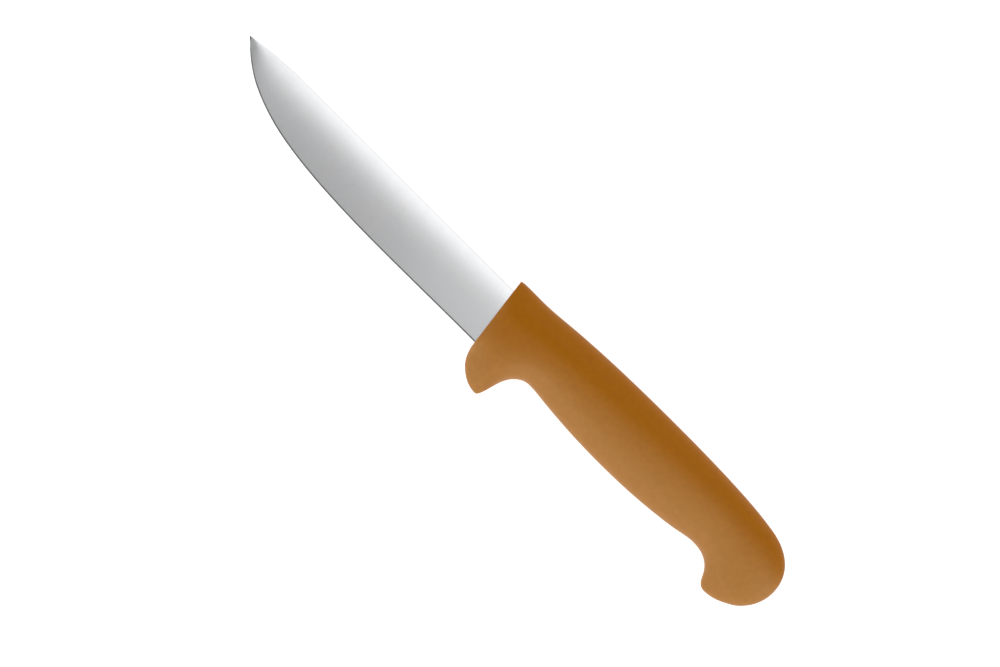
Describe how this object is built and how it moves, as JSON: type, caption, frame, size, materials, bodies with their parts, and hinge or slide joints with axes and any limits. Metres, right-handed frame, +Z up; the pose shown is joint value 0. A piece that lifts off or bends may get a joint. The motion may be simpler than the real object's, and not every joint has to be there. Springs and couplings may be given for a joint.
{
  "type": "boning knife",
  "caption": "Straight boning knife: ground steel blade with a curved tip in a moulded handle with a deep finger guard and a hooked butt.",
  "frame": {"origin": "on the surface that the knife lies on, under the middle of its length and height", "axes": "+X from the tip to the butt, +Y from the cutting edge to the spine, +Z up through the thickness as the knife lies on its side"},
  "size_m": [0.2676, 0.0421, 0.0198],
  "materials": {
    "blade_steel": "satin",
    "core_plastic": "matte",
    "grip_plastic": "satin"
  },
  "bodies": {
    "root": {"blade": "blade_steel", "handle_core": "core_plastic", "handle_grip": "grip_plastic"}
  },
  "joints": []
}
